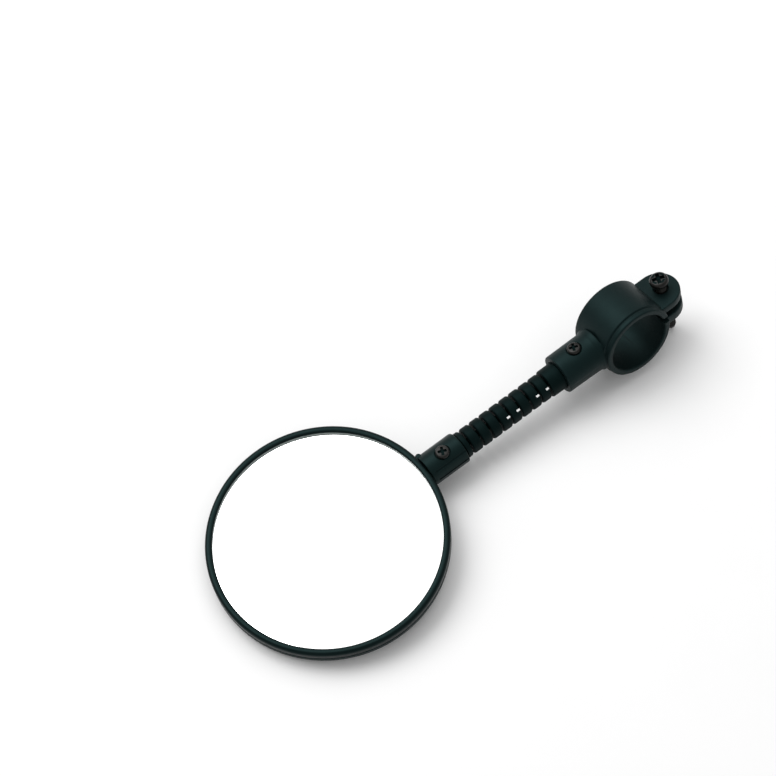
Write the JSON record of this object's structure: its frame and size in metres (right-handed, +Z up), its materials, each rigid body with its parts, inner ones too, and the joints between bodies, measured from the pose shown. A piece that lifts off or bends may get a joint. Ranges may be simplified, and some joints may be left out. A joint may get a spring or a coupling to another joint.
{
  "type": "bike mirror",
  "caption": "Round handlebar mirror with a black plastic head, a ribbed bendable neck, a clamp with a screw for a 22.2 mm bar, and a reflector on its back.",
  "frame": {"origin": "centre of the clamp's handlebar bore", "axes": "+X from the mirror head towards the clamp's ears, level; +Z up, on the mirror side, while the mirror lies on its back; +Y = Z x X"},
  "size_m": [0.1876, 0.08, 0.0304],
  "materials": {
    "shell_plastic": "satin black moulded plastic",
    "bezel_plastic": "satin black moulded plastic",
    "clamp_plastic": "satin black moulded nylon",
    "neck_plastic": "matt black flexible plastic",
    "mirror_glass": "silvered glass",
    "foam": "double-sided foam pad",
    "clear_lens": "clear prismatic acrylic",
    "white_backing": "white sheet",
    "black_steel": "black zinc plated steel",
    "bright_wire": "soft annealed wire"
  },
  "bodies": {
    "clamp": {"clamp_body": "clamp_plastic", "clamp_socket_screw": "black_steel", "neck_collar": "neck_plastic", "core_wire": "bright_wire"},
    "rib_1": {"neck_rib_1": "neck_plastic"},
    "rib_2": {"neck_rib_2": "neck_plastic"},
    "rib_3": {"neck_rib_3": "neck_plastic"},
    "rib_4": {"neck_rib_4": "neck_plastic"},
    "rib_5": {"neck_rib_5": "neck_plastic"},
    "rib_6": {"neck_rib_6": "neck_plastic"},
    "rib_7": {"neck_rib_7": "neck_plastic"},
    "rib_8": {"neck_rib_8": "neck_plastic"},
    "head": {"back_shell": "shell_plastic", "bezel_ring": "bezel_plastic", "mirror_glass": "mirror_glass", "adhesive_pad": "foam", "reflector_lens": "clear_lens", "reflector_backing": "white_backing", "head_socket_screw": "black_steel", "neck_end_plug": "neck_plastic"},
    "screw": {"clamp_screw": "black_steel"},
    "jaw": {"clamp_lower_jaw": "clamp_plastic", "clamp_nut": "black_steel"}
  },
  "joints": [
    {"name": "neck_bend_1_up_down", "type": "hinge", "parent": "clamp", "child": "rib_1", "pos_m": [-0.03379, 0, -0.00275], "axis": [0, 1, 0], "range_deg": [-8, 8], "deforming": ["core_wire"]},
    {"name": "neck_bend_2_side", "type": "hinge", "parent": "rib_1", "child": "rib_2", "pos_m": [-0.03792, 0, -0.00308], "axis": [-0.0811, 0, 0.9967], "range_deg": [-8, 8]},
    {"name": "neck_bend_3_up_down", "type": "hinge", "parent": "rib_2", "child": "rib_3", "pos_m": [-0.04206, 0, -0.00342], "axis": [0, 1, 0], "range_deg": [-8, 8]},
    {"name": "neck_bend_4_side", "type": "hinge", "parent": "rib_3", "child": "rib_4", "pos_m": [-0.0462, 0, -0.00376], "axis": [-0.0811, 0, 0.9967], "range_deg": [-8, 8]},
    {"name": "neck_bend_5_up_down", "type": "hinge", "parent": "rib_4", "child": "rib_5", "pos_m": [-0.05033, 0, -0.00409], "axis": [0, 1, 0], "range_deg": [-8, 8]},
    {"name": "neck_bend_6_side", "type": "hinge", "parent": "rib_5", "child": "rib_6", "pos_m": [-0.05447, 0, -0.00443], "axis": [-0.0811, 0, 0.9967], "range_deg": [-8, 8]},
    {"name": "neck_bend_7_up_down", "type": "hinge", "parent": "rib_6", "child": "rib_7", "pos_m": [-0.05861, 0, -0.00477], "axis": [0, 1, 0], "range_deg": [-8, 8]},
    {"name": "neck_bend_8_side", "type": "hinge", "parent": "rib_7", "child": "rib_8", "pos_m": [-0.06274, 0, -0.0051], "axis": [-0.0811, 0, 0.9967], "range_deg": [-8, 8]},
    {"name": "neck_bend_9_up_down", "type": "hinge", "parent": "rib_8", "child": "head", "pos_m": [-0.06688, 0, -0.00544], "axis": [0, 1, 0], "range_deg": [-8, 8]},
    {"name": "clamp_screw_turn", "type": "hinge", "parent": "clamp", "child": "screw", "pos_m": [0.01662, 0.00204, 0.01023], "axis": [0.1449, -0.2245, -0.9637], "range_deg": [0, 440]},
    {"name": "clamp_jaw_close", "type": "hinge", "parent": "clamp", "child": "jaw", "pos_m": [-0.00942, -0.00164, -0.00789], "axis": [-0.0182, -0.9744, 0.2242], "range_deg": [0, 1.8]}
  ],
  "couplings": [
    {"joint": "neck_bend_3_up_down", "follows": "neck_bend_1_up_down", "ratio": 1},
    {"joint": "neck_bend_4_side", "follows": "neck_bend_2_side", "ratio": 1},
    {"joint": "neck_bend_5_up_down", "follows": "neck_bend_1_up_down", "ratio": 1},
    {"joint": "neck_bend_6_side", "follows": "neck_bend_2_side", "ratio": 1},
    {"joint": "neck_bend_7_up_down", "follows": "neck_bend_1_up_down", "ratio": 1},
    {"joint": "neck_bend_8_side", "follows": "neck_bend_2_side", "ratio": 1},
    {"joint": "neck_bend_9_up_down", "follows": "neck_bend_1_up_down", "ratio": 1},
    {"joint": "clamp_screw_turn", "follows": "clamp_jaw_close", "ratio": 244.4}
  ]
}
